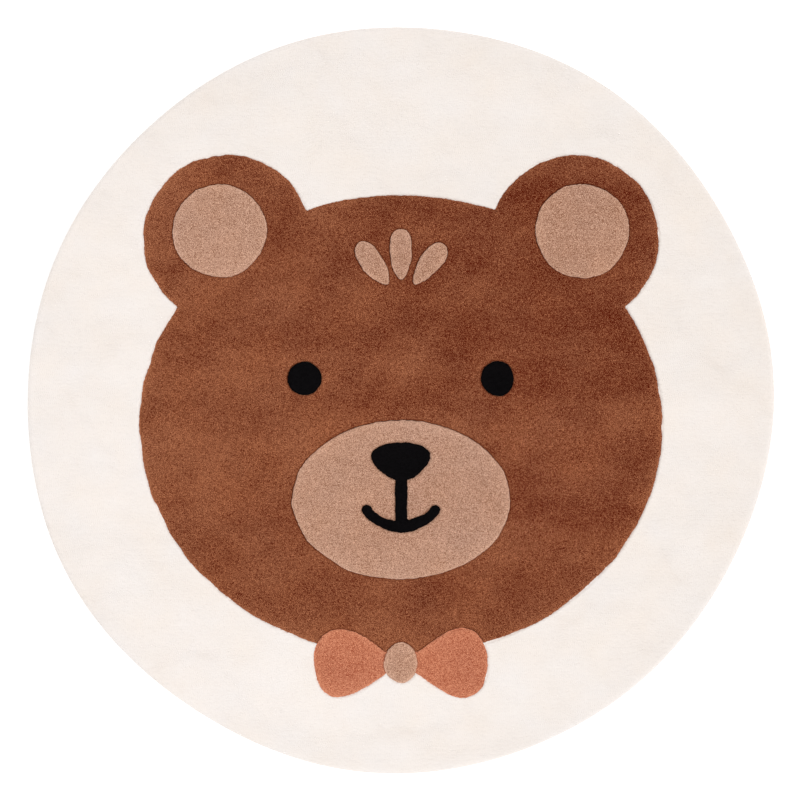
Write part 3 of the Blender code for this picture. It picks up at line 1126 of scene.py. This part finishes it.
class RUG_OT_canvas(bpy.types.Operator):
    """Cut the round canvas that carries the pile"""

    bl_idname = "bear_rug.canvas"
    bl_label = "Cut the canvas"

    def execute(self, context):
        shape = bmesh.new()
        radius = CAD_HIGH.x
        ring = bmesh.ops.create_circle(shape, segments=CANVAS_EDGE_POINTS, radius=radius)["verts"]
        random = np.random.default_rng(context.scene.rug_pile.seed)
        wander = random.uniform(-CANVAS_EDGE_WANDER, CANVAS_EDGE_WANDER, len(ring))
        self.lay_ring(ring, CANVAS_EDGE[0], wander)
        edges = shape.edges[:]
        for row in CANVAS_EDGE[1:]:
            made = bmesh.ops.extrude_edge_only(shape, edges=edges)["geom"]
            edges = [item for item in made if isinstance(item, bmesh.types.BMEdge)]
            self.lay_ring([item for item in made if isinstance(item, bmesh.types.BMVert)], row, wander)
        bmesh.ops.holes_fill(shape, edges=shape.edges)
        bmesh.ops.triangulate(shape, faces=shape.faces)
        bmesh.ops.recalc_face_normals(shape, faces=shape.faces)
        mesh = bpy.data.meshes.new("canvas")
        shape.to_mesh(mesh)
        shape.free()
        dress(context, "canvas", mesh, woven_canvas(context.scene.rug_colours))
        return {"FINISHED"}

    @staticmethod
    def lay_ring(verts, row, wander):
        """Puts a ring of points inside the rug's outline, at one row's inset and height."""
        turns = np.array([math.atan2(vert.co.y, vert.co.x) for vert in verts])
        ways = np.stack([np.cos(turns), np.sin(turns)], 1)
        order = np.round((turns + math.pi) / (2 * math.pi) * len(verts)).astype(int) % len(verts)
        reach = rim_radius(ways) - row["inset"] + wander[order]
        for vert, (x, y), radius in zip(verts, ways, reach):
            vert.co = (x * radius, y * radius, row["height"])


class RUG_OT_ground(bpy.types.Operator):
    """Tuft the cream ground, in two halves"""

    bl_idname = "bear_rug.ground"
    bl_label = "Tuft the ground"

    def execute(self, context):
        tuft(context, "cream", "ground_left", "ground_right")
        return {"FINISHED"}


class RUG_OT_head(bpy.types.Operator):
    """Tuft the brown head, in two halves, and its ears"""

    bl_idname = "bear_rug.head"
    bl_label = "Tuft the head"

    def execute(self, context):
        tuft(context, "brown", "head_left", "head_right", "ear_left", "ear_right")
        tuft(context, "tan", "inner_ear_left", "inner_ear_right")
        return {"FINISHED"}


class RUG_OT_face(bpy.types.Operator):
    """Tuft the muzzle, nose, mouth and eyes"""

    bl_idname = "bear_rug.face"
    bl_label = "Tuft the face"

    def execute(self, context):
        tuft(context, "tan", "muzzle")
        tuft(context, "black", "nose", "mouth", "eye_left", "eye_right")
        return {"FINISHED"}


class RUG_OT_hair(bpy.types.Operator):
    """Tuft the three leaves of hair on the forehead"""

    bl_idname = "bear_rug.hair"
    bl_label = "Tuft the hair"

    def execute(self, context):
        tuft(context, "tan", "hair_left", "hair_middle", "hair_right")
        return {"FINISHED"}


class RUG_OT_bow(bpy.types.Operator):
    """Tuft the bow under the chin"""

    bl_idname = "bear_rug.bow"
    bl_label = "Tuft the bow"

    def execute(self, context):
        tuft(context, "coral", "bow_wing_left", "bow_wing_right")
        tuft(context, "tan", "bow_knot")
        return {"FINISHED"}


class RUG_OT_stage(bpy.types.Operator):
    """Set up the floor, the soft light and the camera"""

    bl_idname = "bear_rug.stage"
    bl_label = "Set the stage"

    def execute(self, context):
        scene = context.scene
        stage = scene.rug_stage
        half = stage.floor_size / 2
        corners = [(x * half, y * half, 0) for x, y in ((-1, -1), (1, -1), (1, 1), (-1, 1))]
        mesh = bpy.data.meshes.new("floor")
        mesh.from_pydata(corners, [], [(0, 1, 2, 3)])
        mesh.materials.append(lit_opal_sheet())
        floor = add_object(context, "floor", mesh)

        world = bpy.data.worlds.new("studio")
        world.use_nodes = True
        sky = world.node_tree.nodes["Background"]
        feed(world.node_tree, sky, {"Color": WHITE, "Strength": stage.sky_strength})
        scene.world = world
        scene.view_settings.view_transform = "Standard"

        lamp_data = bpy.data.lights.new("soft_lamp", "AREA")
        lamp_data.energy = stage.lamp_power
        lamp_data.size = stage.lamp_size
        lamp = add_object(context, "soft_lamp", lamp_data)
        lamp.location = stage.lamp_place
        lamp.rotation_euler = (-Vector(stage.lamp_place)).to_track_quat("-Z", "Y").to_euler()
        lamp.visible_camera = False

        camera_data = bpy.data.cameras.new("camera")
        camera_data.lens = stage.lens
        camera = add_object(context, "camera", camera_data)
        distance = stage.picture_width * stage.lens / camera_data.sensor_width
        camera.location = (*stage.picture_offset, CAD_HIGH.z + distance)
        scene.camera = camera
        return {"FINISHED"}


class RUG_PT_panel(bpy.types.Panel):
    """Bear rug: its sizes, its colours and its steps"""

    bl_idname = "RUG_PT_panel"
    bl_label = "Bear Rug"
    bl_space_type = "VIEW_3D"
    bl_region_type = "UI"
    bl_category = "Bear Rug"

    def draw(self, context):
        for operator in OPERATORS:
            self.layout.operator(operator.bl_idname)
        for group_name, group in SETTINGS.items():
            box = self.layout.box()
            for name in group.__annotations__:
                box.prop(getattr(context.scene, group_name), name)


SETTINGS = {
    "rug_pile": PileSizes,
    "rug_head": HeadSizes,
    "rug_colours": YarnColours,
    "rug_stage": StageSettings,
}
OPERATORS = [
    RUG_OT_canvas,
    RUG_OT_ground,
    RUG_OT_head,
    RUG_OT_face,
    RUG_OT_hair,
    RUG_OT_bow,
    RUG_OT_stage,
]


def register():
    """Makes the settings, the operators and the panel known to Blender."""
    for group in (*SETTINGS.values(), *OPERATORS, RUG_PT_panel):
        bpy.utils.register_class(group)
    for name, group in SETTINGS.items():
        setattr(bpy.types.Scene, name, bpy.props.PointerProperty(type=group))


def unregister():
    """Takes them all away again."""
    for name in SETTINGS:
        delattr(bpy.types.Scene, name)
    for group in reversed((*SETTINGS.values(), *OPERATORS, RUG_PT_panel)):
        bpy.utils.unregister_class(group)


def main():
    """Dresses the rug and sets the stage."""
    register()
    for operator in OPERATORS:
        space, name = operator.bl_idname.split(".")
        getattr(getattr(bpy.ops, space), name)()


if __name__ == "__main__":
    main()
